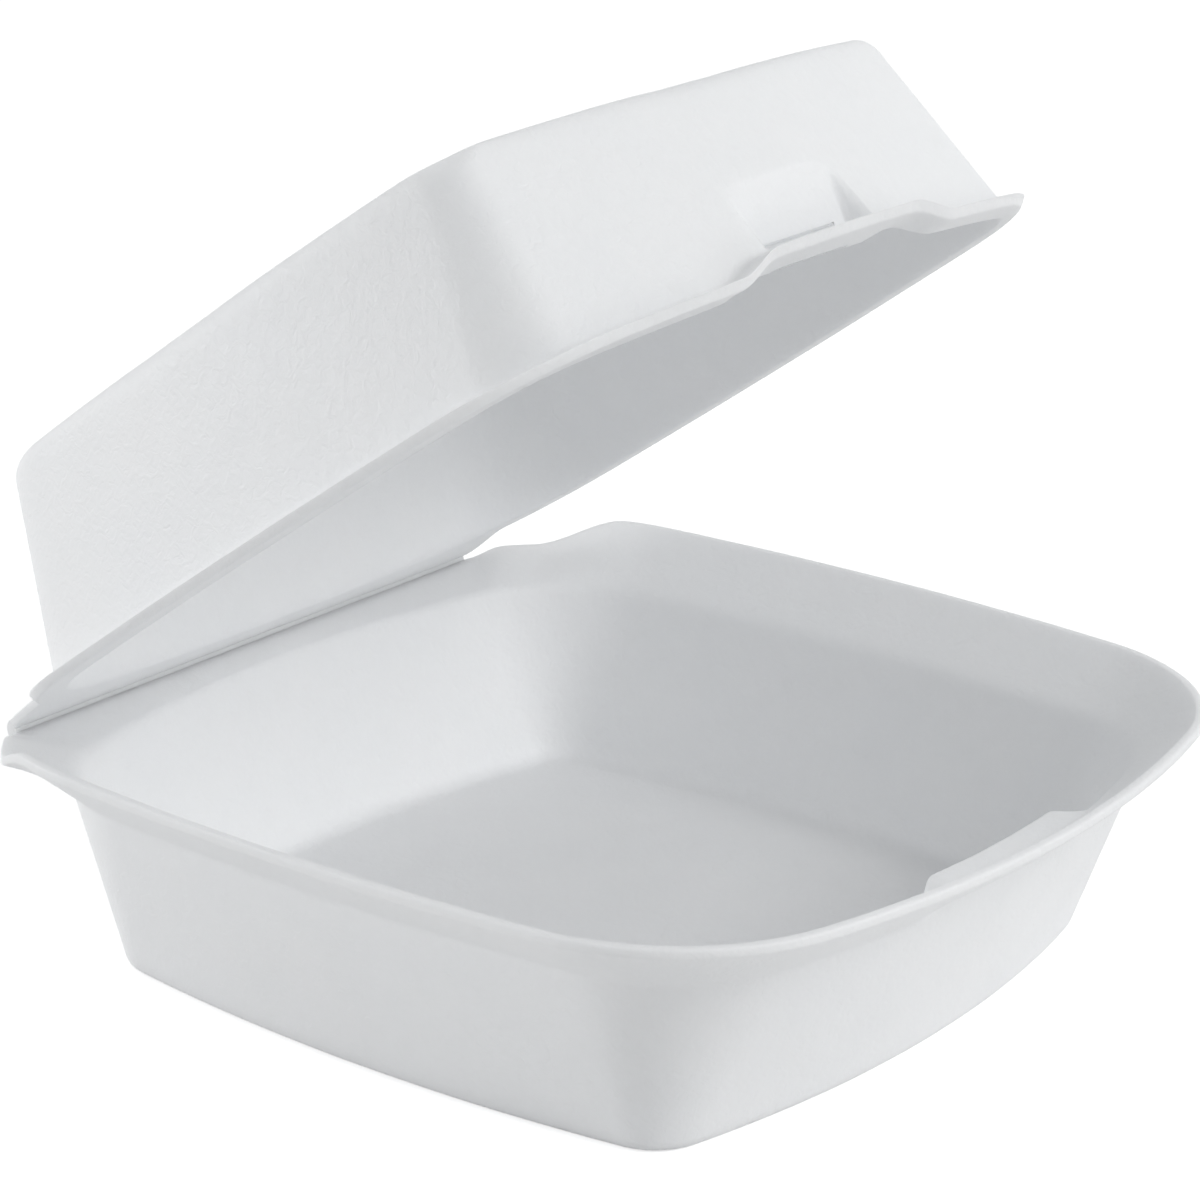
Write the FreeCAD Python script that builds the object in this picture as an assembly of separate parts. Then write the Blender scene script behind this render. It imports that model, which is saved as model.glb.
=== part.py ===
"""Foam clamshell container: a tray and a domed lid formed from one foam sheet and folded along one crease.

X runs across, -Y is the front with the latch, +Y is the hinge side and +Z is up.
The origin is the middle of the tray's underside. All sizes are in millimetres.
"""
import FreeCAD
import Part
import math
import os

Vector = FreeCAD.Vector

# The foam sheet
skin = 1.8                    # thickness of the formed sheet
lip_height = 1.5              # the pinched edge of the rims
lip_round = 0.45              # the small round on each rim edge

# The tray's outlines: half sizes at the middles of the bowed sides, and their radii
rim_side = 76.0
rim_front = 79.6
rim_back = 80.0
rim_side_bow = 430.0
rim_end_bow = 192.0
rim_corner = 35.0
rim_height = 38.5

band_width = 9.5              # how far the flared band stands out over the shoulder
shoulder_height = 28.9
shoulder_back = 68.6          # the hinge side wall stops short of the crease
shoulder_back_bow = 215.0

floor_side = 58.8
floor_end = 58.4
floor_side_bow = 285.0
floor_end_bow = 206.0
floor_corner = 9.0
floor_round = 1.8
floor_inner_round = 4.0

# The crease, a straight line along X at the inner face of the sheet
crease_back = 71.9
crease_height = 32.0
crease_gap = 0.3              # between the two halves, all along the crease
crease_square = 0.75          # how far a rounded lip squares up where it becomes the crease
ear_height = 33.5             # top of the rim beside the crease's ends
ramp_start = 0.22             # the shares of the hinge corner at which the band starts and ends its drop
ramp_end = 0.67
ear_end = 0.82                # the share at which the ear starts to fall to the crease
lid_turn = 0.8                # the share at which the lid's lip turns out to the crease's end

# The lid, given in its closed place
open_angle = 36.2             # how far the photographed lid stands open
nest_gap = 0.45               # between the lid's lip and the tray's band when closed
lid_lift = 0.9                # the lid's flange over the crease
lid_front_short = 1.2         # extra room at the front, for the finger that opens the lid
flange_width = 5.0
foot_corner = 14.0
flange_round = 1.8            # the bend from the flange into the wall
bend_share = 0.4              # how much of that bend lies inside the wall's foot line
hinge_foot = 68.0             # the lid's hinge side wall, as far back as its foot reaches
roof_height = 66.5
roof_side = 57.4
roof_end = 58.3
roof_side_bow = 277.0
roof_end_bow = 329.0
roof_corner = 16.0            # at the hinge end
roof_front_corner = 8.0
roof_round = 3.2
panel_rise = 1.2              # the raised panel on the roof
panel_inset = 5.0
panel_corner = 30.0
panel_slope = 2.0
panel_root = 0.3              # how far the panel's own skin reaches into the roof

# The latch: a ledge in the tray's band, and the arch and recess in the lid that pass over it
ledge_half = 15.0
ledge_flare = 8.0             # how much wider the ledge is at the rim
ledge_inner_height = 34.4
ledge_outer_height = 35.6
ledge_rim_gap = 3.0           # from the ledge's outer edge to the rim's edge
ledge_proud = 0.15            # how far the ledge's inner face stands in from the shoulder's bend
ledge_root = 0.1              # how far over the shoulder the ledge grows out of the band
arch_half = 18.0
arch_ramp = 3.5
arch_rise = 2.6
recess_half = 13.0
recess_foot_half = 12.0        # the recess's back, at its foot and at its top
recess_top_half = 6.0
recess_top = 46.5
recess_depth = 4.5
slot_half = 9.0
slot_width = 1.4


def smooth(t):
    """Ease from 0 to 1 with level ends."""
    t = min(max(t, 0.0), 1.0)
    return t * t * (3.0 - 2.0 * t)


class Outline:
    """A rectangle with bowed sides and round corners, about the origin."""

    def __init__(self, side, front, back, side_bow, front_bow, back_bow, corner):
        self.side = side
        self.front = front
        self.back = back
        self.side_bow = side_bow
        self.front_bow = front_bow
        self.back_bow = back_bow
        self.corner = corner
        self.back_corner = corner

    def inset(self, d, corner=None):
        """The outline moved inwards by d all round."""
        bows = [self.side_bow - d, self.front_bow - d, self.back_bow - d]
        out = Outline(self.side - d, self.front - d, self.back - d, *bows, corner or self.corner - d)
        out.back_corner = corner or self.back_corner - d
        return out

    def corner_circle(self, end, end_bow, corner):
        """Centre of a right hand corner's circle, and its angles at the side and the end, as at the back."""
        side_x = self.side - self.side_bow
        end_y = end - end_bow
        from_side = self.side_bow - corner
        from_end = end_bow - corner
        gap = math.hypot(side_x, end_y)
        along = (from_side ** 2 - from_end ** 2 + gap ** 2) / (2.0 * gap)
        off = math.sqrt(from_side ** 2 - along ** 2)
        ux = -side_x / gap
        uy = end_y / gap
        x = side_x + along * ux - off * uy
        y = along * uy + off * ux
        return x, y, math.atan2(y, x - side_x), math.atan2(y - end_y, x)

    def arcs(self, cut_angle=None):
        """Eight arcs, anticlockwise from the front: (centre x, centre y, radius, start angle, end angle)."""
        fx, fy, f_side, f_end = self.corner_circle(self.front, self.front_bow, self.corner)
        bx, by, b_side, b_end = self.corner_circle(self.back, self.back_bow, self.back_corner)
        if cut_angle is not None:
            b_end = cut_angle
        side_x = self.side - self.side_bow
        pi = math.pi
        return [
            (0.0, self.front_bow - self.front, self.front_bow, f_end - pi, -f_end),
            (fx, -fy, self.corner, -f_end, -f_side),
            (side_x, 0.0, self.side_bow, -f_side, b_side),
            (bx, by, self.back_corner, b_side, b_end),
            (0.0, self.back - self.back_bow, self.back_bow, b_end, pi - b_end),
            (-bx, by, self.back_corner, pi - b_end, pi - b_side),
            (-side_x, 0.0, self.side_bow, pi - b_side, pi + f_side),
            (-fx, -fy, self.corner, pi + f_side, pi + f_end),
        ]


FRONT, BACK_RIGHT, BACK, BACK_LEFT = 0, 3, 4, 5


def level(outline, height):
    """A flat ring: eight arcs at one height."""
    edges = []
    for cx, cy, radius, start, end in outline.arcs():
        centre = Vector(cx, cy, height)
        circle = Part.Circle(centre, Vector(0, 0, 1), radius)
        edges.append(Part.Arc(circle, start, end).toShape())
    return edges


def ring(outline, cut_angle, lift, points=25):
    """A ring with a straight edge at the crease. lift(place, t, x) gives its outward push and its height."""
    edges = []
    for place, (cx, cy, radius, start, end) in enumerate(outline.arcs(cut_angle)):
        track = []
        for i in range(points):
            t = i / (points - 1.0)
            angle = start + (end - start) * t
            push, height = lift(place, t, cx + radius * math.cos(angle))
            reach = radius + push
            track.append(Vector(cx + reach * math.cos(angle), cy + reach * math.sin(angle), height))
        if place == BACK:
            edges.append(Part.makeLine(edges[-1].Vertexes[-1].Point, corner_end(outline, cut_angle, lift)))
        elif all(abs(p.z - track[0].z) < 1e-9 for p in track) and lift(place, 0.5, cx)[0] == 0.0:
            edges.append(Part.Arc(track[0], track[points // 2], track[-1]).toShape())
        else:
            curve = Part.BSplineCurve()
            curve.interpolate(track)
            edges.append(curve.toShape())
    return edges


def corner_end(outline, cut_angle, lift):
    """The left end of a ring's straight edge."""
    cx, cy, radius, start, _ = outline.arcs(cut_angle)[BACK_LEFT]
    push, height = lift(BACK_LEFT, 0.0, cx)
    reach = radius + push
    return Vector(cx + reach * math.cos(start), cy + reach * math.sin(start), height)


def corner_run(place, t):
    """How far along a hinge corner, from its side (0) to the crease (1). Elsewhere 0, and 1 at the crease."""
    if place == BACK_RIGHT:
        return t
    if place == BACK_LEFT:
        return 1.0 - t
    return 1.0 if place == BACK else 0.0


def solid_from(rings, first_flat, last_flat):
    """A solid between flat end faces, with ruled faces from each ring to the next."""
    faces = [Part.Face(Part.Wire(first_flat)), Part.Face(Part.Wire(last_flat))]
    for low, high in zip(rings, rings[1:]):
        for a, b in zip(low, high):
            faces.append(Part.makeRuledSurface(a, b))
    shell = Part.makeShell(faces)
    shell.sewShape()
    body = Part.makeSolid(shell)
    if body.Volume < 0:
        body.reverse()
    return body


def rounded(outline, radius, start_height, sign):
    """Rings for a rounded edge that turns from a wall into a flat face, in three steps."""
    out = []
    for angle in (0.0, 30.0, 60.0, 90.0):
        a = math.radians(angle)
        drop = radius * math.sin(a) * sign
        out.append(level(outline.inset(radius * (1.0 - math.cos(a))), start_height + drop))
    return out


rim = Outline(rim_side, rim_front, rim_back, rim_side_bow, rim_end_bow, rim_end_bow, rim_corner)
floor = Outline(floor_side, floor_end, floor_end, floor_side_bow, floor_end_bow, floor_end_bow, floor_corner)
shoulder = rim.inset(band_width)
shoulder.back = shoulder_back
shoulder.back_bow = shoulder_back_bow
wall_lean = math.atan2(rim_side - band_width - floor_side, shoulder_height)
band_lean = math.atan2(band_width, rim_height - shoulder_height)


def crease_angle():
    """Where the rim's hinge corner meets the crease, as an angle on the corner's circle."""
    _, cy, _, _ = rim.corner_circle(rim_back, rim_end_bow, rim_corner)
    return math.asin((crease_back - crease_gap / 2.0 - cy) / rim_corner)


cut = crease_angle()


def mitre(lean_low, lean_high):
    """Inset and rise from a bend on the outer skin to the same bend on the inner skin."""
    x1, z1 = -math.cos(lean_low), math.sin(lean_low)
    x2, z2 = -math.cos(lean_high), math.sin(lean_high)
    share = skin / (1.0 + x1 * x2 + z1 * z2)
    return -share * (x1 + x2), share * (z1 + z2)


def fall(run):
    """How far an ear has fallen to the crease's height, from 0 to 1."""
    return smooth((run - ear_end) / (1.0 - ear_end))


def band_height(place, t):
    """Top of the rim band: level, with a ramp in each hinge corner down to an ear beside the crease."""
    run = corner_run(place, t)
    ramp = smooth((run - ramp_start) / (ramp_end - ramp_start))
    ear_drop = ear_height - crease_height + crease_gap / 2.0
    return rim_height - (rim_height - ear_height) * ramp - ear_drop * fall(run)


def band_edge(drop_at_band, drop_at_crease, inset=0.0):
    """A ring of the rim, so far under the band's top and so far inside its outline."""
    def lift(place, t, x):
        run = corner_run(place, t)
        height = band_height(place, t) - drop_at_band - (drop_at_crease - drop_at_band) * fall(run)
        return inset * crease_square * smooth(run), height
    return lift


def make_tray():
    """The tray: floor, wall, shoulder, band and hinge flange as one sheet."""
    inner_inset, inner_rise = mitre(wall_lean, band_lean)
    inner_floor = floor.inset(skin / math.cos(wall_lean) - (skin + floor_inner_round) * math.tan(wall_lean))
    outer_wall = floor.inset(-floor_round * math.tan(wall_lean))
    outside = rounded(outer_wall, floor_round, floor_round, -1.0)
    inside = rounded(inner_floor, floor_inner_round, skin + floor_inner_round, -1.0)
    rings = outside[::-1]
    rings.append(level(shoulder, shoulder_height))
    rings.append(ring(rim, cut, band_edge(lip_height, skin)))
    rings.append(ring(rim.inset(lip_round), cut, band_edge(0.0, 0.0, lip_round)))
    rings.append(ring(rim.inset(lip_height), cut, band_edge(0.0, 0.0, lip_height)))
    rings.append(level(shoulder.inset(inner_inset), shoulder_height + inner_rise))
    rings.extend(inside)
    return solid_from(rings, outside[-1], inside[-1])


def trapezoid(half_inner, half_outer, inner_bow, outer_bow, low, high):
    """A block between two bows of the front, wider at the outer one."""
    points = []
    for half, (front, bow) in ((half_inner, inner_bow), (half_outer, outer_bow)):
        centre = bow - front
        points.append([Vector(x, centre - math.sqrt(bow ** 2 - x ** 2), low) for x in (-half, 0.0, half)])
    inner, outer = points
    edges = [
        Part.Arc(*inner).toShape(),
        Part.makeLine(inner[2], outer[2]),
        Part.Arc(*outer[::-1]).toShape(),
        Part.makeLine(outer[0], inner[0]),
    ]
    return Part.Face(Part.Wire(edges)).extrude(Vector(0, 0, high - low))


def under_slope(y_in, z_in, y_out, z_out, half):
    """Everything under a plane that climbs from (y_in, z_in) to (y_out, z_out)."""
    slope = (z_out - z_in) / (y_out - y_in)
    reach = rim_front - ledge_half
    corners = [
        Vector(-half, y_in + reach, z_in + reach * slope),
        Vector(-half, y_out - reach, z_out - reach * slope),
        Vector(-half, y_out - reach, 0.0),
        Vector(-half, y_in + reach, 0.0),
    ]
    return Part.Face(Part.makePolygon(corners + corners[:1])).extrude(Vector(2.0 * half, 0, 0))


def add_ledge(tray):
    """The latch ledge: the wall runs straight up to a shelf inside the band, open from below."""
    inner = shoulder.front - mitre(wall_lean, band_lean)[0]
    inner_bow = (inner - ledge_proud, shoulder.front_bow - shoulder.front + inner - ledge_proud)
    outer_bow = (rim_front - lip_height, rim_end_bow - lip_height)
    wide = ledge_half + ledge_flare
    low = shoulder_height + ledge_root
    bend = Part.Wire(level(shoulder, shoulder_height))
    top_edge = Part.Wire(level(rim, rim_height))
    hull = Part.makeLoft([bend, top_edge], True, True)
    y_out = -(rim_front - ledge_rim_gap)
    top = under_slope(-inner, ledge_inner_height, y_out, ledge_outer_height, 2.0 * wide)
    below = under_slope(-inner, ledge_inner_height - skin, y_out, ledge_outer_height - skin, 2.0 * wide)
    block = trapezoid(ledge_half, wide, inner_bow, outer_bow, low, rim_height).common(top)
    block = block.common(hull)
    recess_inner = (inner + skin, shoulder.front_bow)
    recess_outer = (rim_front + skin, rim_end_bow + skin)
    half_in = ledge_half - skin
    half_out = wide - skin / 2.0
    recess = trapezoid(half_in, half_out, recess_inner, recess_outer, shoulder_height, rim_height)
    return tray.fuse(block).cut(recess.common(below)).removeSplitter()


# The lid nests inside the band, so its outline comes from the band's inner skin at the lip's height
flange_height = crease_height + lid_lift
lip_top = flange_height + lip_height
band_inset = band_width * (rim_height - lip_top) / (rim_height - shoulder_height)
lid_inset = band_inset + skin / math.cos(band_lean) + nest_gap
lid_rim = rim.inset(lid_inset)
lid_rim.front -= lid_front_short
lid_foot = lid_rim.inset(flange_width)
lid_foot.corner = foot_corner
lid_foot.back = hinge_foot
lid_foot.back_bow = shoulder_back_bow
roof = Outline(roof_side, roof_end, roof_end, roof_side_bow, roof_end_bow, roof_end_bow, roof_corner)
roof.corner = roof_front_corner
lid_wall_lean = math.atan2(lid_foot.side - roof_side, roof_height - flange_height)


def arch(x):
    """How far the front lip is raised over the tray's ledge, at x."""
    return arch_rise * smooth((arch_half + arch_ramp - abs(x)) / arch_ramp)


def lid_edge(rise, inset=0.0):
    """A ring of the lid's lip: level, arched at the front, and drawn out and down to the crease's ends."""
    def lift(place, t, x):
        run = corner_run(place, t)
        out = lid_inset * smooth((run - lid_turn) / (1.0 - lid_turn))
        out += inset * crease_square * smooth(run)
        height = flange_height + (crease_height + crease_gap / 2.0 - flange_height) * fall(run)
        bump = arch(x) if place == FRONT else 0.0
        return out, height + rise + bump
    return lift


def foot_edge(rise):
    """A ring at the foot of the lid's wall, with the arch at the front."""
    def lift(place, t, x):
        bump = arch(x) if place == FRONT else 0.0
        return 0.0, flange_height + rise + bump
    return lift


def full_ring(outline, lift, points=13):
    """A ring with no straight edge, for the wall inside the flange."""
    edges = []
    for place, (cx, cy, radius, start, end) in enumerate(outline.arcs()):
        track = []
        for i in range(points):
            angle = start + (end - start) * i / (points - 1.0)
            x = cx + radius * math.cos(angle)
            track.append(Vector(x, cy + radius * math.sin(angle), lift(place, 0.0, x)[1]))
        if place == FRONT:
            curve = Part.BSplineCurve()
            curve.interpolate(track)
            edges.append(curve.toShape())
        else:
            edges.append(Part.Arc(track[0], track[points // 2], track[-1]).toShape())
    return edges


def make_lid_shell():
    """The lid in its closed place: lip, flange, wall and roof as one sheet."""
    slant = skin / math.cos(lid_wall_lean)
    outer_roof = rounded(roof, roof_round, roof_height - roof_round, 1.0)
    inner_round = roof_round - skin / 2.0
    inner_roof = rounded(roof.inset(slant), inner_round, roof_height - skin - inner_round, 1.0)
    inner_foot = lid_foot.inset(slant)
    rings = outer_roof[::-1]
    rings.append(full_ring(lid_foot.inset(flange_round * bend_share), foot_edge(skin + flange_round)))
    rings.append(full_ring(lid_foot.inset(-flange_round * (1.0 - bend_share)), foot_edge(skin)))
    rings.append(ring(lid_rim.inset(lip_round), cut, lid_edge(lip_height, lip_round)))
    rings.append(ring(lid_rim, cut, lid_edge(lip_height - lip_round)))
    rings.append(ring(lid_rim.inset(lip_height), cut, lid_edge(0.0, lip_height)))
    rings.append(full_ring(inner_foot.inset(-flange_round * (1.0 - bend_share)), foot_edge(0.0)))
    rings.append(full_ring(inner_foot.inset(flange_round * bend_share), foot_edge(flange_round)))
    rings.extend(inner_roof)
    return solid_from(rings, outer_roof[-1], inner_roof[-1])


def add_panel(lid):
    """The raised panel on the roof, pressed up from below."""
    top = roof.inset(roof_round + panel_inset - panel_slope, panel_corner)
    out = []
    for shrink, lower in ((0.0, 0.0), (skin, skin)):
        base = top.inset(shrink, panel_corner)
        foot = Part.Wire(level(base, roof_height - lower - panel_root))
        wall = Part.Wire(level(base, roof_height - lower))
        crown = Part.Wire(level(base.inset(panel_slope, panel_corner), roof_height + panel_rise - lower))
        out.append(Part.makeLoft([foot, wall, crown], True, True))
    return lid.fuse(out[0]).cut(out[1]).removeSplitter()


def recess_block(grow, out, low, high):
    """The finger recess as a block, grown by a skin: its sides close in towards its back, most at its top."""
    back = -(lid_foot.front - recess_depth) + grow
    front = -(lid_foot.front + out)
    lean = (lid_foot.front - roof_end) / (roof_height - roof_round - flange_height)
    half_front = recess_half + grow
    ends = []
    for height, half in ((low, recess_foot_half), (high, recess_top_half)):
        wall = -lid_foot.front + lean * (height - flange_height)
        right = [
            Vector(half_front, front, height),
            Vector(half_front, wall, height),
            Vector(half + grow, back, height),
        ]
        left = [Vector(-p.x, p.y, p.z) for p in reversed(right)]
        ends.append(Part.makePolygon(right + left + right[:1]))
    return Part.makeLoft(ends, True, True)


def lid_hull():
    """Everything inside the lid's outer skin."""
    foot = Part.Wire(level(lid_foot, flange_height))
    crown = Part.Wire(level(roof, roof_height - roof_round))
    return Part.makeLoft([foot, crown], True, True)


def add_recess(lid):
    """The finger recess in the front wall, with a slot at its foot."""
    floor_top = flange_height + arch_rise + skin
    shell = recess_block(skin, recess_depth, floor_top - skin, recess_top + skin).common(lid_hull())
    void = recess_block(0.0, 2.0 * recess_depth, floor_top, recess_top)
    back = -(lid_foot.front - recess_depth)
    slot = Part.makeBox(2.0 * slot_half, slot_width, 3.0 * skin)
    slot.translate(Vector(-slot_half, back - slot_width, floor_top - 2.0 * skin))
    return lid.fuse(shell).cut(void).cut(slot).removeSplitter()


def export(shape, name):
    """Write a node's one solid."""
    solid, = shape.Solids
    print(name, "valid", solid.isValid(), "volume", round(solid.Volume, 1))
    solid.exportStep("parts/" + name + ".step")


os.makedirs("parts", exist_ok=True)

tray_shape = add_ledge(make_tray())
lid_shape = add_recess(add_panel(make_lid_shell()))
lid_shape.rotate(Vector(0, crease_back, crease_height), Vector(1, 0, 0), -open_angle)

export(tray_shape, "base_tray")
export(lid_shape, "lid")
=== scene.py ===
"""A foam clamshell food container standing open on a pale table.

Metres. X runs across, -Y is the front with the latch, +Y is the hinge side and +Z is up.
"""
import math

import bmesh
import bpy
import numpy as np
from mathutils import Matrix, Vector


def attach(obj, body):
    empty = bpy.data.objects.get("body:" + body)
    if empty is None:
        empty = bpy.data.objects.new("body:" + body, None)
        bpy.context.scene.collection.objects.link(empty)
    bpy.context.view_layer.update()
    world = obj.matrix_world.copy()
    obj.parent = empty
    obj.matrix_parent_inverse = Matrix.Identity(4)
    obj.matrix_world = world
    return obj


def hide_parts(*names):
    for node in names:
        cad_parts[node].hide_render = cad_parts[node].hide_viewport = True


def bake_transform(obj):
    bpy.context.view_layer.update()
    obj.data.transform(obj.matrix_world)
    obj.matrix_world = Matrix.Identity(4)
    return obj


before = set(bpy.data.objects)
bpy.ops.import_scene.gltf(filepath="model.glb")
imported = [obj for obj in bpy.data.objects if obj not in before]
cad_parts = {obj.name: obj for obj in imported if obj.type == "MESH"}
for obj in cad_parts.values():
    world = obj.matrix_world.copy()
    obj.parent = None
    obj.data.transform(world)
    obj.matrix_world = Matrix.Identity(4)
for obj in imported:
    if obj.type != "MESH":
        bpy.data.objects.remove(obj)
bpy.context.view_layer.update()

# The tray
# The lower half of the container: a bowed square tray with leaning walls, a shoulder, a flared rim band and
# a latch ledge at the front. It is half of one sheet of foamed polystyrene, formed hot between two moulds
# and trimmed at the rim, so it has one thickness all over and a pinched edge.

skin = 0.0018
lip_height = 0.0015
rim = dict(side=0.076, front=0.0796, back=0.080, side_bow=0.430, front_bow=0.192, back_bow=0.192,
           corner=0.035, back_corner=0.035)
rim_height = 0.0385
band_width = 0.0095
shoulder_height = 0.0289
floor = dict(side=0.0588, front=0.0584, back=0.0584, side_bow=0.285, front_bow=0.206, back_bow=0.206,
             corner=0.009, back_corner=0.009)
hinge_bow = 0.215
hinge_side = dict(back=0.0686, back_bow=hinge_bow)
crease_back = 0.0719
crease_height = 0.032
crease_gap = 0.0003
crease_square = 0.75
ear_height = 0.0335
ramp_start = 0.22
ramp_end = 0.67
ear_end = 0.82
ledge_half = 0.015
ledge_flare = 0.006
ledge_height = 0.0344
ledge_proud = 0.00015
ledge_root = 0.0002
ledge_corner_share = 0.28
ledge_back_share = 0.64
ledge_under_share = 0.58
band_bend = 0.0008
ledge_bend = 0.0009
fine_bend = 0.0003
rim_bend = 0.0004
wall_rows = 16
band_rows = 4

latch_zone = 0.030
latch_step = 0.00045
plain_step = 0.0015
corner_step = 0.00105
long_arc = 0.04
bend_limit = 0.48
pole_share = 0.02

FRONT, BACK_RIGHT, BACK, BACK_LEFT = 0, 3, 4, 5


def smooth(t):
    """Ease from 0 to 1 with level ends."""
    t = np.clip(t, 0.0, 1.0)
    return t * t * (3.0 - 2.0 * t)


def inset(outline, d, corner=None, **changes):
    """An outline moved inwards by d all round, with its corners' radius and other sizes changed if given."""
    moved = {name: size - d for name, size in outline.items()}
    if corner is not None:
        moved["corner"] = moved["back_corner"] = corner
    moved.update(changes)
    return moved


def corner_circle(outline, end, end_bow, corner):
    """Centre of a right hand corner's circle, and its angles at the side and at the end, as at the back."""
    side_x = outline["side"] - outline["side_bow"]
    end_y = end - end_bow
    from_side = outline["side_bow"] - corner
    from_end = end_bow - corner
    gap = math.hypot(side_x, end_y)
    along = (from_side ** 2 - from_end ** 2 + gap ** 2) / (2.0 * gap)
    off = math.sqrt(from_side ** 2 - along ** 2)
    x = side_x - along * side_x / gap - off * end_y / gap
    y = along * end_y / gap - off * side_x / gap
    return x, y, math.atan2(y, x - side_x), math.atan2(y - end_y, x)


def arcs(outline, cut=None):
    """Eight arcs, anticlockwise from the front: (centre x, centre y, radius, start angle, end angle)."""
    corner, back_corner = outline["corner"], outline["back_corner"]
    fx, fy, f_side, f_end = corner_circle(outline, outline["front"], outline["front_bow"], corner)
    bx, by, b_side, b_end = corner_circle(outline, outline["back"], outline["back_bow"], back_corner)
    b_end = b_end if cut is None else cut
    side_x = outline["side"] - outline["side_bow"]
    bow, front_bow, back_bow = outline["side_bow"], outline["front_bow"], outline["back_bow"]
    pi = math.pi
    return [
        (0.0, front_bow - outline["front"], front_bow, f_end - pi, -f_end),
        (fx, -fy, corner, -f_end, -f_side),
        (side_x, 0.0, bow, -f_side, b_side),
        (bx, by, back_corner, b_side, b_end),
        (0.0, outline["back"] - back_bow, back_bow, b_end, pi - b_end),
        (-bx, by, back_corner, pi - b_end, pi - b_side),
        (-side_x, 0.0, bow, pi - b_side, pi + f_side),
        (-fx, -fy, corner, pi + f_side, pi + f_end),
    ]


def column_places():
    """The mesh's columns round the rim: each one's arc and share of it, closest together at the latch."""
    places, shares = [], []
    for place, (cx, cy, radius, start, end) in enumerate(arcs(rim)):
        length = radius * (end - start)
        step = plain_step if length > long_arc else corner_step
        t = np.linspace(0.0, 1.0, max(int(length / step), 4), endpoint=False)
        if place == FRONT:
            zone = latch_zone / length
            t = np.concatenate([
                np.linspace(0.0, 0.5 - zone, int((0.5 - zone) * length / plain_step), endpoint=False),
                np.linspace(0.5 - zone, 0.5 + zone, int(2.0 * zone * length / latch_step), endpoint=False),
                np.linspace(0.5 + zone, 1.0, int((0.5 - zone) * length / plain_step), endpoint=False),
            ])
        places.append(np.full(len(t), place))
        shares.append(t)
    return np.concatenate(places), np.concatenate(shares)


place, share = column_places()
at_front = place == FRONT
corner_run = np.select([place == BACK_RIGHT, place == BACK_LEFT, place == BACK],
                       [share, 1.0 - share, 1.0], 0.0)
_, hinge_corner_y, _, _ = corner_circle(rim, rim["back"], rim["back_bow"], rim["back_corner"])
crease_cut = math.asin((crease_back - crease_gap / 2.0 - hinge_corner_y) / rim["corner"])


def station(outline, height, push=0.0, creased=False):
    """One point for each column, on an outline at a height. A creased outline runs straight at the crease."""
    sheet_arcs = np.array(arcs(outline, crease_cut if creased else None))
    cx, cy, radius, start, end = sheet_arcs[place].T
    angle = start + (end - start) * share
    reach = radius + push
    points = np.column_stack([cx + reach * np.cos(angle), cy + reach * np.sin(angle), np.zeros(len(place))])
    if creased:
        straight = place == BACK
        corner_x, corner_y, corner_radius = sheet_arcs[BACK_RIGHT][:3]
        corner_reach = corner_radius + np.broadcast_to(push, share.shape)[straight]
        end_x = corner_x + corner_reach * math.cos(crease_cut)
        points[straight, 0] = end_x * (1.0 - 2.0 * share[straight])
        points[straight, 1] = corner_y + corner_reach * math.sin(crease_cut)
    points[:, 2] = height
    return points


def between(a, b, part):
    """Points a share of the way from a to b."""
    return a + (b - a) * (part[:, None] if np.ndim(part) else part)


def sheet_rows(stations):
    """Rows of points from station to station. A station: points, its bend's reach, rows in the run to it."""
    rows = [stations[0][0]]
    for (a, bend_a, _), (b, bend_b, count), following in zip(stations, stations[1:], stations[2:] + [None]):
        length = np.linalg.norm(b - a, axis=1)
        start = between(a, b, np.minimum(bend_a / length, bend_limit))
        stop = between(a, b, 1.0 - np.minimum(bend_b / length, bend_limit))
        for i in range(1, count + 1):
            rows.append(between(start, stop, i / count))
        if following is None:
            continue
        c = following[0]
        onward = between(b, c, np.minimum(bend_b / np.linalg.norm(c - b, axis=1), bend_limit))
        turn_rows = 7 if bend_b > band_bend else 4
        for i in range(1, turn_rows + 1):
            t = i / turn_rows
            rows.append(between(between(stop, b, t), between(b, onward, t), t))
    return np.array(rows)


def sheet_mesh(name, rows):
    """A closed mesh of quads through the rows, with a fan of triangles at each end."""
    count = rows.shape[1]
    points = np.vstack([rows.reshape(-1, 3), rows[0].mean(axis=0), rows[-1].mean(axis=0)])
    here = np.arange(count)
    there = np.roll(here, -1)
    faces = []
    for row in range(len(rows) - 1):
        low, high = row * count, (row + 1) * count
        faces.extend(np.column_stack([here + low, there + low, there + high, here + high]).tolist())
    last = (len(rows) - 1) * count
    first_pole, last_pole = len(points) - 2, len(points) - 1
    faces.extend([there[i], here[i], first_pole] for i in range(count))
    faces.extend([here[i] + last, there[i] + last, last_pole] for i in range(count))
    mesh = bpy.data.meshes.new(name)
    mesh.from_pydata(points.tolist(), [], [[int(i) for i in f] for f in faces])
    shell = bmesh.new()
    shell.from_mesh(mesh)
    bmesh.ops.recalc_face_normals(shell, faces=shell.faces)
    shell.to_mesh(mesh)
    shell.free()
    mesh.shade_smooth()
    piece = bpy.data.objects.new(name, mesh)
    bpy.context.scene.collection.objects.link(piece)
    return piece


def pole(points):
    """A small ring round an outline's middle, which a fan of faces closes."""
    ring = points.copy()
    ring[:, :2] *= pole_share
    return ring


def mitre(lean_low, lean_high):
    """Inset and rise from a bend on the outer skin to the same bend on the inner skin."""
    x1, z1 = -math.cos(lean_low), math.sin(lean_low)
    x2, z2 = -math.cos(lean_high), math.sin(lean_high)
    part = skin / (1.0 + x1 * x2 + z1 * z2)
    return -part * (x1 + x2), part * (z1 + z2)


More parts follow.
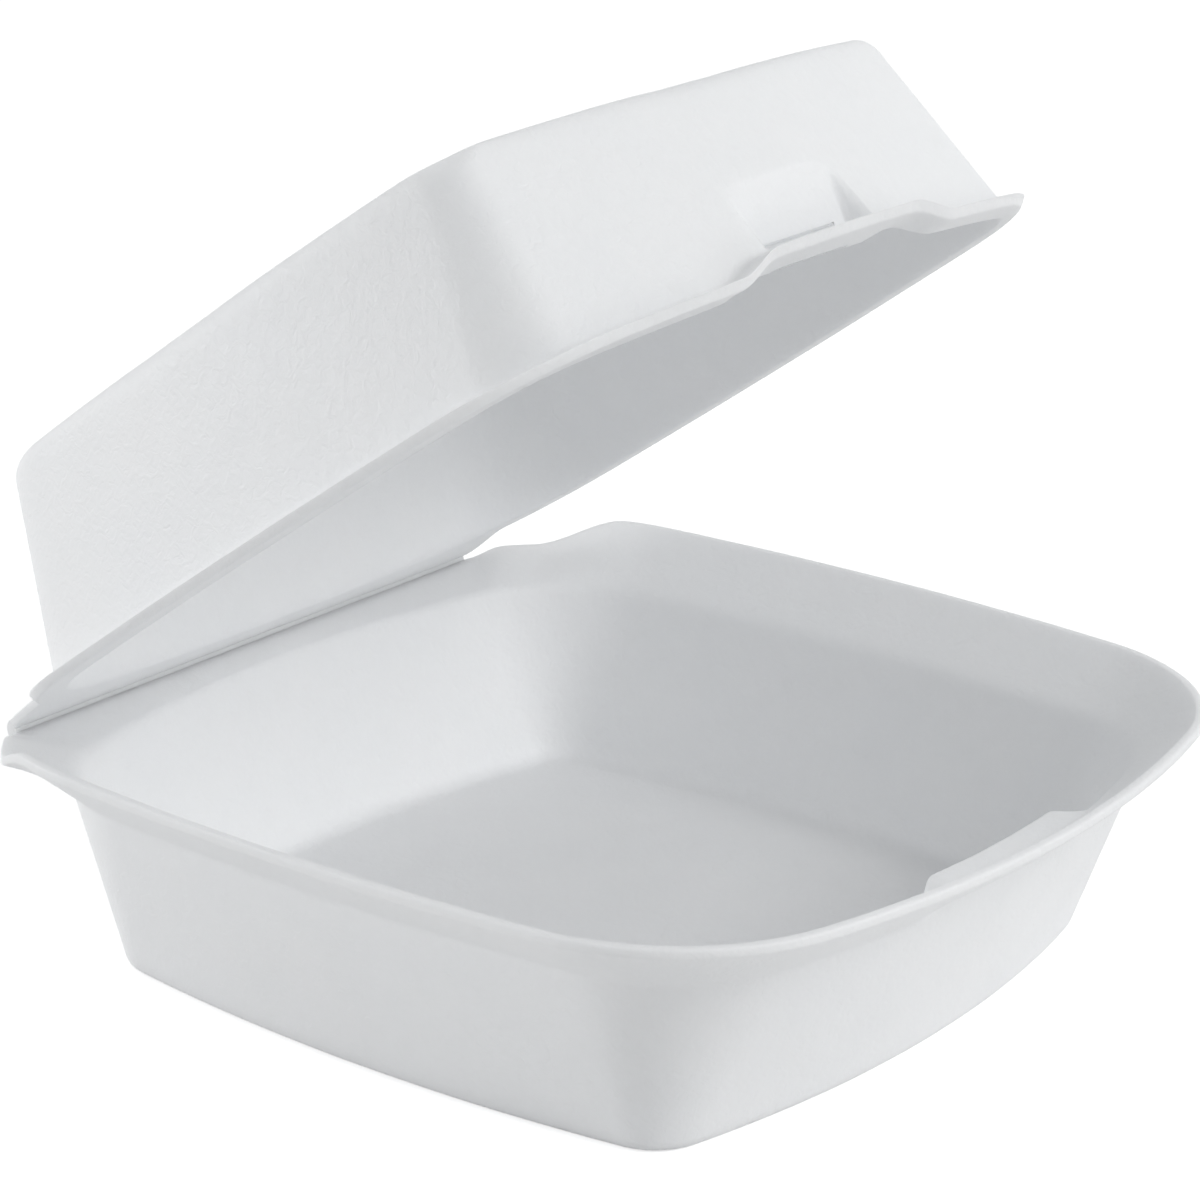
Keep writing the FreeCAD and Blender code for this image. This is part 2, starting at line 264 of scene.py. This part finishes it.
shoulder = inset(rim, band_width, **hinge_side)
wall_lean = math.atan2(rim["side"] - band_width - floor["side"], shoulder_height)
band_lean = math.atan2(band_width, rim_height - shoulder_height)
inner_inset, inner_rise = mitre(wall_lean, band_lean)
ramp = smooth((corner_run - ramp_start) / (ramp_end - ramp_start))
fall = smooth((corner_run - ear_end) / (1.0 - ear_end))
ear_drop = ear_height - crease_height + crease_gap / 2.0
rim_top = rim_height - (rim_height - ear_height) * ramp - ear_drop * fall
rim_under = rim_top - lip_height - (skin - lip_height) * fall
squared = crease_square * lip_height * smooth(corner_run)

floor_inner = station(inset(floor, skin / math.cos(wall_lean) - skin * math.tan(wall_lean)), skin)
bend_inner = station(inset(shoulder, inner_inset), shoulder_height + inner_rise)
lip_inner = station(inset(rim, lip_height), rim_top, push=squared, creased=True)
lip_top = station(rim, rim_top, creased=True)
lip_under = station(rim, rim_under, creased=True)
bend_outer = station(shoulder, shoulder_height)
floor_outer = station(floor, 0.0)


def ledge_share(points):
    """1 over the latch ledge and 0 past its slanted ends."""
    return at_front * smooth((ledge_half + ledge_flare - np.abs(points[:, 0])) / ledge_flare)


def raised(band_point, corner_y, corner_z):
    """A band point, moved to the ledge's corner where the ledge is."""
    part = ledge_share(band_point)
    bow = shoulder["front_bow"]
    at_ledge = band_point.copy()
    at_ledge[:, 1] = -corner_y + bow - np.sqrt(bow ** 2 - band_point[:, 0] ** 2)
    at_ledge[:, 2] = corner_z
    return between(band_point, at_ledge, part)


ledge_inner = raised(between(bend_inner, lip_inner, ledge_corner_share),
                     shoulder["front"] - inner_inset - ledge_proud, ledge_height)
ledge_back = between(bend_inner, lip_inner, ledge_back_share)
ledge_under = raised(between(bend_outer, lip_under, ledge_corner_share),
                     shoulder["front"] + ledge_root, ledge_height - skin)
ledge_under_back = between(bend_outer, lip_under, ledge_under_share)

tray_rows = sheet_rows([
    (pole(floor_inner), 0.0, 0),
    (floor_inner, 0.0034, 22),
    (bend_inner, 0.0016, wall_rows),
    (ledge_inner, ledge_bend, 5),
    (ledge_back, band_bend, band_rows),
    (lip_inner, fine_bend, band_rows),
    (lip_top, 0.0006, 2),
    (lip_under, rim_bend, 2),
    (ledge_under_back, band_bend, band_rows),
    (ledge_under, ledge_bend, band_rows),
    (bend_outer, 0.0012, 5),
    (floor_outer, 0.0016, wall_rows),
    (pole(floor_outer), 0.0, 12),
])
tray = sheet_mesh("foam_tray", tray_rows)


def foam_material():
    """White foamed polystyrene: a satin skin with fine wrinkles over small cells, slightly see-through."""
    material = bpy.data.materials.new("foam")
    material.use_nodes = True
    nodes, links = material.node_tree.nodes, material.node_tree.links
    shader = nodes["Principled BSDF"]
    place_in = nodes.new("ShaderNodeTexCoord")

    wrinkles = nodes.new("ShaderNodeTexNoise")
    wrinkles.inputs["Scale"].default_value = 620.0
    wrinkles.inputs["Detail"].default_value = 3.0
    wrinkles.inputs["Distortion"].default_value = 1.1
    cells = nodes.new("ShaderNodeTexVoronoi")
    cells.inputs["Scale"].default_value = 1500.0
    mottle = nodes.new("ShaderNodeTexNoise")
    mottle.inputs["Scale"].default_value = 60.0
    mottle.inputs["Detail"].default_value = 4.0
    for texture in (wrinkles, cells, mottle):
        links.new(place_in.outputs["Object"], texture.inputs["Vector"])

    tone = nodes.new("ShaderNodeValToRGB")
    tone.color_ramp.elements[0].position = 0.3
    tone.color_ramp.elements[0].color = (0.9, 0.908, 0.92, 1.0)
    tone.color_ramp.elements[1].position = 0.7
    tone.color_ramp.elements[1].color = (0.92, 0.928, 0.94, 1.0)
    links.new(mottle.outputs["Fac"], tone.inputs["Fac"])
    links.new(tone.outputs["Color"], shader.inputs["Base Color"])

    gloss = nodes.new("ShaderNodeMapRange")
    gloss.inputs["To Min"].default_value = 0.45
    gloss.inputs["To Max"].default_value = 0.58
    links.new(wrinkles.outputs["Fac"], gloss.inputs["Value"])
    links.new(gloss.outputs["Result"], shader.inputs["Roughness"])

    cell_bump = nodes.new("ShaderNodeBump")
    cell_bump.inputs["Strength"].default_value = 0.12
    cell_bump.inputs["Distance"].default_value = 0.00005
    wrinkle_bump = nodes.new("ShaderNodeBump")
    wrinkle_bump.inputs["Strength"].default_value = 0.8
    wrinkle_bump.inputs["Distance"].default_value = 0.00018
    links.new(cells.outputs["Distance"], cell_bump.inputs["Height"])
    links.new(wrinkles.outputs["Fac"], wrinkle_bump.inputs["Height"])
    links.new(cell_bump.outputs["Normal"], wrinkle_bump.inputs["Normal"])
    links.new(wrinkle_bump.outputs["Normal"], shader.inputs["Normal"])

    shader.inputs["Subsurface Weight"].default_value = 0.8
    shader.inputs["Subsurface Radius"].default_value = (1.0, 1.0, 1.0)
    shader.inputs["Subsurface Scale"].default_value = 0.004
    shader.inputs["IOR"].default_value = 1.45
    return material


foam = foam_material()


def unevenness_tree():
    """Nodes that sink a formed sheet's surface a little, here and there, and give it its material."""
    tree = bpy.data.node_groups.new("formed_sheet_unevenness", "GeometryNodeTree")
    sockets = tree.interface
    sockets.new_socket("Geometry", in_out="INPUT", socket_type="NodeSocketGeometry")
    sockets.new_socket("Depth", in_out="INPUT", socket_type="NodeSocketFloat")
    sockets.new_socket("Patches per metre", in_out="INPUT", socket_type="NodeSocketFloat")
    sockets.new_socket("Seed", in_out="INPUT", socket_type="NodeSocketFloat")
    sockets.new_socket("Material", in_out="INPUT", socket_type="NodeSocketMaterial")
    sockets.new_socket("Geometry", in_out="OUTPUT", socket_type="NodeSocketGeometry")
    nodes, links = tree.nodes, tree.links
    entry = nodes.new("NodeGroupInput")
    exit_node = nodes.new("NodeGroupOutput")
    patches = nodes.new("ShaderNodeTexNoise")
    patches.noise_dimensions = "4D"
    patches.inputs["Detail"].default_value = 2.0
    links.new(entry.outputs["Seed"], patches.inputs["W"])
    links.new(entry.outputs["Patches per metre"], patches.inputs["Scale"])
    sink = nodes.new("ShaderNodeMath")
    sink.operation = "MULTIPLY"
    links.new(patches.outputs["Fac"], sink.inputs[0])
    links.new(entry.outputs["Depth"], sink.inputs[1])
    normal = nodes.new("GeometryNodeInputNormal")
    inward = nodes.new("ShaderNodeVectorMath")
    inward.operation = "SCALE"
    links.new(normal.outputs["Normal"], inward.inputs[0])
    negative = nodes.new("ShaderNodeMath")
    negative.operation = "MULTIPLY"
    negative.inputs[1].default_value = -1.0
    links.new(sink.outputs[0], negative.inputs[0])
    links.new(negative.outputs[0], inward.inputs["Scale"])
    move = nodes.new("GeometryNodeSetPosition")
    links.new(entry.outputs["Geometry"], move.inputs["Geometry"])
    links.new(inward.outputs[0], move.inputs["Offset"])
    realize = nodes.new("GeometryNodeRealizeInstances")
    links.new(move.outputs["Geometry"], realize.inputs["Geometry"])
    paint = nodes.new("GeometryNodeSetMaterial")
    links.new(realize.outputs["Geometry"], paint.inputs["Geometry"])
    links.new(entry.outputs["Material"], paint.inputs["Material"])
    links.new(paint.outputs["Geometry"], exit_node.inputs["Geometry"])
    return tree


def finish_with(piece, tree, **values):
    """Run a node tree on a piece, with its named inputs, and keep the plain mesh that comes out."""
    modifier = piece.modifiers.new(tree.name, "NODES")
    modifier.node_group = tree
    for socket in tree.interface.items_tree:
        if socket.in_out == "INPUT" and socket.name in values:
            modifier[socket.identifier] = values[socket.name]
    bpy.context.view_layer.update()
    evaluated = piece.evaluated_get(bpy.context.evaluated_depsgraph_get())
    mesh = bpy.data.meshes.new_from_object(evaluated)
    piece.modifiers.remove(modifier)
    piece.data = mesh
    mesh.name = piece.name


uneven = unevenness_tree()
foam_finish = {"Depth": 0.00012, "Patches per metre": 70.0, "Material": foam}
finish_with(tray, uneven, Seed=3.0, **foam_finish)
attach(tray, "tray")
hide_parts("base_tray")


# The lid
# The upper half of the same sheet, formed with it: a domed cover with bowed walls and a raised roof panel.
# Its front lip arches over the tray's ledge, under a finger recess with a slot at its foot. It is made in its
# closed place and then turned open on the crease, to where the photographed lid stands.

open_angle = math.radians(36.2)
nest_gap = 0.00045
lid_turn = 0.8
lid_lift = 0.0009
lid_front_short = 0.0012
flange_width = 0.005
flange_height = crease_height + lid_lift
lip_level = flange_height + lip_height
band_inset = band_width * (rim_height - lip_level) / (rim_height - shoulder_height)
lid_inset = band_inset + skin / math.cos(band_lean) + nest_gap
lid_rim = inset(rim, lid_inset)
lid_rim["front"] -= lid_front_short
lid_foot = inset(lid_rim, flange_width, back=0.068, back_bow=hinge_bow)
lid_foot["corner"] = 0.014
roof = dict(side=0.0574, front=0.0583, back=0.0583, side_bow=0.277, front_bow=0.329, back_bow=0.329,
            corner=0.008, back_corner=0.016)
roof_height = 0.0665
roof_round = 0.0032
panel_rise = 0.0012
panel_slope = 0.002
panel_inset = 0.005
panel_corner = 0.030
panel_bend = 0.0008
panel = inset(roof, roof_round + panel_inset - panel_slope, panel_corner)
arch_half = 0.0165
arch_ramp = 0.0095
arch_rise = 0.0026
recess_half = 0.013
recess_foot_half = 0.012
recess_top_half = 0.006
recess_top = 0.0465
recess_depth = 0.0045
recess_foot_lean = 0.001
recess_top_lean = 0.0004
recess_top_round = 0.0008
recess_brow = 0.02
recess_brow_in = 0.06
flange_bend_share = 0.3
slot_half = 0.009
slot_width = 0.0022
slot_height = 0.0021

lid_lean = math.atan2(lid_foot["side"] - roof["side"], roof_height - flange_height)
slant = skin / math.cos(lid_lean)
to_crease = smooth((corner_run - lid_turn) / (1.0 - lid_turn))
flange_low = flange_height + (crease_height + crease_gap / 2.0 - flange_height) * fall


def arch(points):
    """How far the front lip is raised over the tray's ledge."""
    return at_front * arch_rise * smooth((arch_half + arch_ramp - np.abs(points[:, 0])) / arch_ramp)


def lid_station(outline, height, **changes):
    """A station of the lid's flange, raised at the arch."""
    points = station(outline, height, **changes)
    points[:, 2] += arch(points)
    return points


def recessed(points, height, back, grow, half):
    """Points of the front wall, moved to the recess's back, which reaches as far as half to each side."""
    part = at_front * smooth((recess_half + grow - np.abs(points[:, 0])) / (recess_half - half))
    at_back = points.copy()
    at_back[:, 1] = -back
    at_back[:, 2] = height
    return between(points, at_back, part)


roof_inset = roof_round * math.tan(lid_lean)
roof_out = station(inset(roof, roof_inset), roof_height)
roof_in = station(inset(roof, roof_inset + slant), roof_height - skin)
foot_out = lid_station(lid_foot, flange_height + skin)
foot_in = lid_station(inset(lid_foot, slant), flange_height)
front_slope = (lid_foot["front"] - roof["front"]) / (roof_height - flange_height)
for foot in (foot_out, foot_in):
    foot[:, 1] += front_slope * arch(foot)
to_rim = lid_inset * to_crease
tip_out = lid_station(lid_rim, flange_low + lip_height, push=to_rim, creased=True)
tip_under = lid_station(inset(lid_rim, lip_height), flange_low, push=to_rim + squared, creased=True)
recess_back = lid_foot["front"] - recess_depth
recess_share = (recess_top - flange_height - skin) / (roof_height - flange_height - skin)
recess_floor = flange_height + skin + arch_rise

foot_back = recess_back - recess_foot_lean
top_back = recess_back + recess_top_lean
recess_top_out = recessed(between(foot_out, roof_out, recess_share - recess_brow),
                          recess_top - recess_top_round, top_back, 0.0, recess_top_half)
recess_foot_out = recessed(foot_out, recess_floor, foot_back, 0.0, recess_foot_half)
recess_foot_in = recessed(foot_in, recess_floor - skin, foot_back - skin, skin, recess_foot_half)
recess_top_in = recessed(between(foot_in, roof_in, recess_share), recess_top + recess_top_round,
                         top_back - skin, skin, recess_top_half)

lid_rows = sheet_rows([
    (pole(station(panel, roof_height + panel_rise)), 0.0, 0),
    (station(inset(panel, panel_slope, panel_corner), roof_height + panel_rise), panel_bend, 12),
    (station(panel, roof_height), panel_bend, 2),
    (roof_out, roof_round, 3),
    (between(foot_out, roof_out, recess_share + recess_brow), rim_bend, 12),
    (recess_top_out, 0.0005, 3),
    (recess_foot_out, 0.0012, 18),
    (between(foot_out, tip_out, flange_bend_share), fine_bend, 8),
    (tip_out, 0.0005, 5),
    (tip_under, rim_bend, 2),
    (between(foot_in, tip_under, flange_bend_share), fine_bend, 5),
    (recess_foot_in, 0.0018, 8),
    (recess_top_in, 0.0005, 20),
    (between(foot_in, roof_in, recess_share + recess_brow_in), rim_bend, 3),
    (roof_in, 0.0026, 12),
    (station(inset(panel, skin, panel_corner), roof_height - skin), panel_bend, 3),
    (station(inset(panel, skin + panel_slope, panel_corner), roof_height + panel_rise - skin), panel_bend, 2),
    (pole(station(panel, roof_height + panel_rise - skin)), 0.0, 10),
])
lid = sheet_mesh("foam_lid", lid_rows)


def slot_cutter():
    """A round ended bar through the foot of the recess, as the tool that pierces the slot."""
    middle_y = -foot_back
    radius = slot_width / 2.0
    turns = np.linspace(-math.pi / 2.0, math.pi / 2.0, 9)
    right = [(slot_half - radius + radius * math.cos(a), middle_y + radius * math.sin(a)) for a in turns]
    left = [(-x, 2.0 * middle_y - y) for x, y in right]
    loop = right + left
    low, high = recess_floor - 3.0 * skin, recess_floor + slot_height
    points = [(x, y, z) for z in (low, high) for x, y in loop]
    count = len(loop)
    faces = [[i, (i + 1) % count, (i + 1) % count + count, i + count] for i in range(count)]
    faces += [list(range(count))[::-1], list(range(count, 2 * count))]
    mesh = bpy.data.meshes.new("slot_cutter")
    mesh.from_pydata(points, [], faces)
    cutter = bpy.data.objects.new("slot_cutter", mesh)
    bpy.context.scene.collection.objects.link(cutter)
    return cutter


cutter = slot_cutter()
pierce = lid.modifiers.new("slot", "BOOLEAN")
pierce.object = cutter
pierce.solver = "EXACT"
bpy.context.view_layer.update()
pierced = bpy.data.meshes.new_from_object(lid.evaluated_get(bpy.context.evaluated_depsgraph_get()))
lid.modifiers.remove(pierce)
lid.data = pierced
bpy.data.objects.remove(cutter)

crease_line = Vector((0.0, crease_back, crease_height))
turn = Matrix.Rotation(-open_angle, 4, "X")
opening = Matrix.Translation(crease_line) @ turn @ Matrix.Translation(-crease_line)
lid.data.transform(opening)
finish_with(lid, uneven, Seed=8.0, **foam_finish)
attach(lid, "lid")
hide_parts("lid")


# The crease
# The thin web of the sheet that joins the tray's and the lid's hinge flanges. It is pressed in one straight
# line when the sheet is formed, and it bends as the lid turns, so it is drawn here as a rounded fold.

web_radius = 0.0019
tray_edge_angle = math.radians(-100.0)
lid_edge_angle = math.radians(65.0)
web_short = 0.0005
crease_end = float(np.abs(lip_top[place == BACK][:, 0]).max()) - web_short


def crease_tree():
    """Nodes that sweep a fan shaped section along a straight line."""
    tree = bpy.data.node_groups.new("crease_web", "GeometryNodeTree")
    sockets = tree.interface
    for name, kind in (("Half length", "Float"), ("Radius", "Float"), ("First angle", "Float"),
                       ("Turn", "Float"), ("Material", "Material")):
        sockets.new_socket(name, in_out="INPUT", socket_type="NodeSocket" + kind)
    sockets.new_socket("Geometry", in_out="OUTPUT", socket_type="NodeSocketGeometry")
    nodes, links = tree.nodes, tree.links
    entry = nodes.new("NodeGroupInput")
    exit_node = nodes.new("NodeGroupOutput")
    ends = []
    for side in (-1.0, 1.0):
        scale = nodes.new("ShaderNodeMath")
        scale.operation = "MULTIPLY"
        scale.inputs[1].default_value = side
        end = nodes.new("ShaderNodeCombineXYZ")
        links.new(entry.outputs["Half length"], scale.inputs[0])
        links.new(scale.outputs[0], end.inputs["X"])
        ends.append(end)
    line = nodes.new("GeometryNodeCurvePrimitiveLine")
    links.new(ends[0].outputs[0], line.inputs["Start"])
    links.new(ends[1].outputs[0], line.inputs["End"])
    resample = nodes.new("GeometryNodeResampleCurve")
    resample.inputs["Count"].default_value = 60
    links.new(line.outputs["Curve"], resample.inputs["Curve"])
    fan = nodes.new("GeometryNodeCurveArc")
    fan.inputs["Resolution"].default_value = 20
    fan.inputs["Connect Center"].default_value = True
    links.new(entry.outputs["Radius"], fan.inputs["Radius"])
    links.new(entry.outputs["First angle"], fan.inputs["Start Angle"])
    links.new(entry.outputs["Turn"], fan.inputs["Sweep Angle"])
    sweep = nodes.new("GeometryNodeCurveToMesh")
    sweep.inputs["Fill Caps"].default_value = True
    links.new(resample.outputs["Curve"], sweep.inputs["Curve"])
    links.new(fan.outputs["Curve"], sweep.inputs["Profile Curve"])
    realize = nodes.new("GeometryNodeRealizeInstances")
    links.new(sweep.outputs["Mesh"], realize.inputs["Geometry"])
    paint = nodes.new("GeometryNodeSetMaterial")
    links.new(realize.outputs["Geometry"], paint.inputs["Geometry"])
    links.new(entry.outputs["Material"], paint.inputs["Material"])
    links.new(paint.outputs["Geometry"], exit_node.inputs["Geometry"])
    return tree


web = bpy.data.objects.new("foam_crease", bpy.data.meshes.new("foam_crease"))
bpy.context.scene.collection.objects.link(web)
finish_with(web, crease_tree(), **{
    "Half length": crease_end, "Radius": web_radius, "First angle": tray_edge_angle + math.pi,
    "Turn": lid_edge_angle - tray_edge_angle, "Material": foam,
})
web.data.transform(Matrix.Translation(crease_line))
web.data.shade_smooth()
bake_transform(web)


# The stage
# A plain white table under a plain white sky, with wide soft lamps. Two stand in front and reach under the
# lid to the hinge wall, and one stands low behind the container for its left walls.

table_half = 4.0
table_mesh = bpy.data.meshes.new("table")
table_mesh.from_pydata([(-table_half, -table_half, 0), (table_half, -table_half, 0),
                        (table_half, table_half, 0), (-table_half, table_half, 0)], [], [(0, 1, 2, 3)])
table = bpy.data.objects.new("table", table_mesh)
bpy.context.scene.collection.objects.link(table)


def seen_directly(nodes, links):
    """1 for rays that show a surface as a background: from the camera, a mirror or through glass."""
    path = nodes.new("ShaderNodeLightPath")
    total = path.outputs["Is Camera Ray"]
    for name in ("Is Glossy Ray", "Is Transmission Ray"):
        add = nodes.new("ShaderNodeMath")
        add.operation = "MAXIMUM"
        links.new(total, add.inputs[0])
        links.new(path.outputs[name], add.inputs[1])
        total = add.outputs[0]
    return total


table_glow = 0.6
table_material = bpy.data.materials.new("table")
table_material.use_nodes = True
nodes, links = table_material.node_tree.nodes, table_material.node_tree.links
nodes.remove(nodes["Principled BSDF"])
matt = nodes.new("ShaderNodeBsdfDiffuse")
matt.inputs["Color"].default_value = (0.8, 0.8, 0.8, 1.0)
glow = nodes.new("ShaderNodeEmission")
level = nodes.new("ShaderNodeMath")
level.operation = "MULTIPLY"
level.inputs[1].default_value = table_glow
both = nodes.new("ShaderNodeAddShader")
links.new(seen_directly(nodes, links), level.inputs[0])
links.new(level.outputs[0], glow.inputs["Strength"])
links.new(matt.outputs[0], both.inputs[0])
links.new(glow.outputs[0], both.inputs[1])
links.new(both.outputs[0], nodes["Material Output"].inputs["Surface"])
table_mesh.materials.append(table_material)

sky_level = 0.44
world = bpy.data.worlds.new("sky")
bpy.context.scene.world = world
world.use_nodes = True
nodes, links = world.node_tree.nodes, world.node_tree.links
sky = nodes["Background"]
sky.inputs["Color"].default_value = (0.97, 0.985, 1.0, 1.0)
ease = nodes.new("ShaderNodeMapRange")
ease.inputs["To Min"].default_value = sky_level
ease.inputs["To Max"].default_value = 1.06
links.new(seen_directly(nodes, links), ease.inputs["Value"])
links.new(ease.outputs["Result"], sky.inputs["Strength"])


def lamp(name, spot, aim, size, watts):
    """A square soft lamp at spot, aimed at a point."""
    light = bpy.data.lights.new(name, "AREA")
    light.shape = "SQUARE"
    light.size = size
    light.energy = watts
    holder = bpy.data.objects.new(name, light)
    holder.location = spot
    holder.rotation_euler = (Vector(aim) - Vector(spot)).to_track_quat("-Z", "Y").to_euler()
    bpy.context.scene.collection.objects.link(holder)


middle = (0.0, 0.0, 0.06)
lamp("front", (0.3, -1.15, 0.95), middle, 0.6, 8.5)
lamp("front_low", (0.25, -1.4, 0.2), middle, 0.4, 1.5)
lamp("behind_left", (-0.75, 1.15, 0.22), middle, 0.4, 6.8)


# The camera
# A long lens, as for a catalogue picture, a little above the rim and round to the container's front left.
# Its place was fitted to the rim, the crease and the lid, in pixels of a picture 1200 across.

azimuth = math.radians(-52.866)
elevation = math.radians(19.426)
roll = math.radians(1.167)
distance = 0.6556
aim = Vector((0.0, 0.0, 0.030))
aim_right = -0.001313
aim_up = 0.022824
focal_pixels = 4346.06
picture_pixels = 1200.0
middle_x = 603.3
middle_y = 605.8

ground_share = math.cos(elevation)
back = Vector((math.sin(azimuth) * ground_share, -math.cos(azimuth) * ground_share, math.sin(elevation)))
right = Vector((math.cos(azimuth), math.sin(azimuth), 0.0))
up = back.cross(right)
turned_right = right * math.cos(roll) + up * math.sin(roll)
turned_up = up * math.cos(roll) - right * math.sin(roll)
lens = bpy.data.cameras.new("camera")
lens.sensor_width = 36.0
lens.lens = focal_pixels / picture_pixels * lens.sensor_width
lens.shift_x = (picture_pixels / 2.0 - middle_x) / picture_pixels
lens.shift_y = (middle_y - picture_pixels / 2.0) / picture_pixels
lens.clip_start = 0.01
camera = bpy.data.objects.new("camera", lens)
camera.matrix_world = Matrix.Translation(aim + back * distance + right * aim_right + up * aim_up) @ Matrix(
    (turned_right, turned_up, back)).transposed().to_4x4()
bpy.context.scene.collection.objects.link(camera)
bpy.context.scene.camera = camera
bpy.context.scene.view_settings.view_transform = "Standard"
